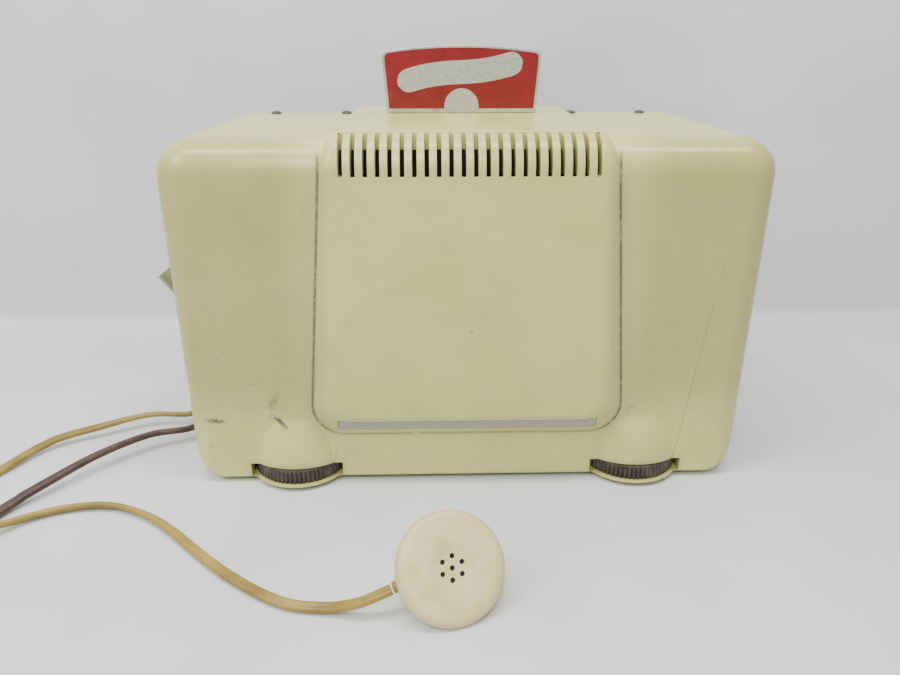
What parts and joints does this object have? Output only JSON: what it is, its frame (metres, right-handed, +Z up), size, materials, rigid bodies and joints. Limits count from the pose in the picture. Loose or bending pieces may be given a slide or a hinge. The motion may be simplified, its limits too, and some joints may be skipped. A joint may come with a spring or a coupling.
{
  "type": "coin-operated radio",
  "caption": "Cream moulded coin-operated bedside radio with a grille panel, thumbwheels, a red coin sign on top and a corded pillow speaker.",
  "frame": {"origin": "middle of the base plate's underside, on the surface that the radio stands on", "axes": "+X to the right and the longest way, +Y to the back, so the front faces -Y, and +Z up"},
  "size_m": [0.4697, 0.3997, 0.2152],
  "materials": {
    "cream_case": "moulded cream plastic, satin gloss, lightly scuffed",
    "ivory_speaker": "moulded ivory plastic, semi gloss, yellowed",
    "brown_plastic": "dark brown plastic, satin",
    "brown_cord": "brown vinyl twin flex",
    "gold_cord": "translucent gold vinyl twin flex",
    "sign_metal": "brushed, with red enamel on the front",
    "zinc_steel": "zinc-plated sheet steel",
    "dark_steel": "dark grey",
    "aluminium": "drawn cans",
    "dial_plate": "satin plate with black figures",
    "dial_lens": "clear plastic strip",
    "pointer_red": "red",
    "brass": "satin",
    "chrome": "polished",
    "tube_glass": "clear with a silver getter",
    "antenna_board": "fibre board wound with wire"
  },
  "bodies": {
    "case": {"front_shell": "cream_case", "rear_shell": "cream_case", "timer_switch": "brown_plastic", "power_plug": "brown_plastic", "power_gland": "brown_plastic", "power_cord": "brown_cord", "power_coil": "brown_cord", "speaker_cord": "gold_cord", "speaker_cord_end": "gold_cord", "speaker_coil": "gold_cord", "speaker_gland": "gold_cord", "sign_plate": "sign_metal", "sign_rivet_1": "sign_metal", "sign_rivet_2": "sign_metal", "rear_panel": "zinc_steel", "chassis": "zinc_steel", "coin_chute": "zinc_steel", "timer_bracket": "zinc_steel", "tuning_frame": "zinc_steel", "volume_control": "zinc_steel", "pointer_rail": "zinc_steel", "speaker_hook": "zinc_steel", "base_plate": "dark_steel", "top_screw_1": "dark_steel", "top_screw_2": "dark_steel", "top_screw_3": "dark_steel", "top_screw_4": "dark_steel", "rear_screw_1": "dark_steel", "rear_screw_2": "dark_steel", "timer_motor": "dark_steel", "output_transformer": "dark_steel", "if_can_1": "aluminium", "if_can_2": "aluminium", "filter_can": "aluminium", "dial_scale": "dial_plate", "dial_lens": "dial_lens", "coin_slot_plate": "chrome", "tube_1": "tube_glass", "tube_2": "tube_glass", "tube_3": "tube_glass", "tube_4": "tube_glass", "tube_5": "tube_glass", "loop_antenna": "antenna_board"},
    "volume_knob": {"volume_wheel": "brown_plastic", "volume_shaft": "brass"},
    "tuning_knob": {"tuning_wheel": "brown_plastic", "tuning_shaft": "brass", "tuning_rotor": "aluminium"},
    "pointer": {"dial_pointer": "pointer_red"},
    "drawer": {"coin_drawer": "zinc_steel", "lock_barrel": "chrome"},
    "lock": {"lock_plug": "chrome", "lock_cam": "zinc_steel"},
    "timer_disc": {"timer_wheel": "brass"},
    "pinion": {"motor_pinion": "brass"},
    "lever": {"switch_lever": "brass"},
    "speaker": {"pillow_front": "ivory_speaker", "pillow_back": "ivory_speaker", "pillow_driver": "dark_steel", "pillow_relief": "gold_cord"}
  },
  "joints": [
    {"name": "volume_turn", "type": "hinge", "parent": "case", "child": "volume_knob", "pos_m": [-0.0891, -0.055, 0.0072], "axis": [0, 0, 1], "range_deg": [0, 270]},
    {"name": "tuning_turn", "type": "hinge", "parent": "case", "child": "tuning_knob", "pos_m": [0.0891, -0.055, 0.0072], "axis": [0, 0, 1], "range_deg": [0, 180]},
    {"name": "pointer_slide", "type": "slide", "parent": "case", "child": "pointer", "axis": [1, 0, 0], "range_m": [0, 0.11]},
    {"name": "drawer_pull", "type": "slide", "parent": "case", "child": "drawer", "axis": [0, 1, 0], "range_m": [0, 0.055]},
    {"name": "lock_turn", "type": "hinge", "parent": "drawer", "child": "lock", "pos_m": [0, 0.072, 0.0545], "axis": [0, 1, 0], "range_deg": [-90, 0]},
    {"name": "timer_turn", "type": "hinge", "parent": "case", "child": "timer_disc", "pos_m": [0.078, 0.0235, 0.095], "axis": [0, 1, 0], "range_deg": [0, 300]},
    {"name": "pinion_turn", "type": "hinge", "parent": "case", "child": "pinion", "pos_m": [0.078, 0.0235, 0.125], "axis": [0, 1, 0], "range_deg": [-1500, 0]},
    {"name": "lever_press", "type": "hinge", "parent": "case", "child": "lever", "pos_m": [0.064, 0.028, 0.083], "axis": [0, 1, 0], "range_deg": [0, 6], "stiffness_Nm_per_rad": 0.02},
    {"name": "speaker_lift", "type": "slide", "parent": "case", "child": "speaker", "axis": [0, 0, 1], "range_m": [0, 0.15]}
  ],
  "couplings": [
    {"joint": "pointer_slide", "follows": "tuning_turn", "m_per_rad": 0.035},
    {"joint": "pinion_turn", "follows": "timer_turn", "ratio": -5}
  ]
}
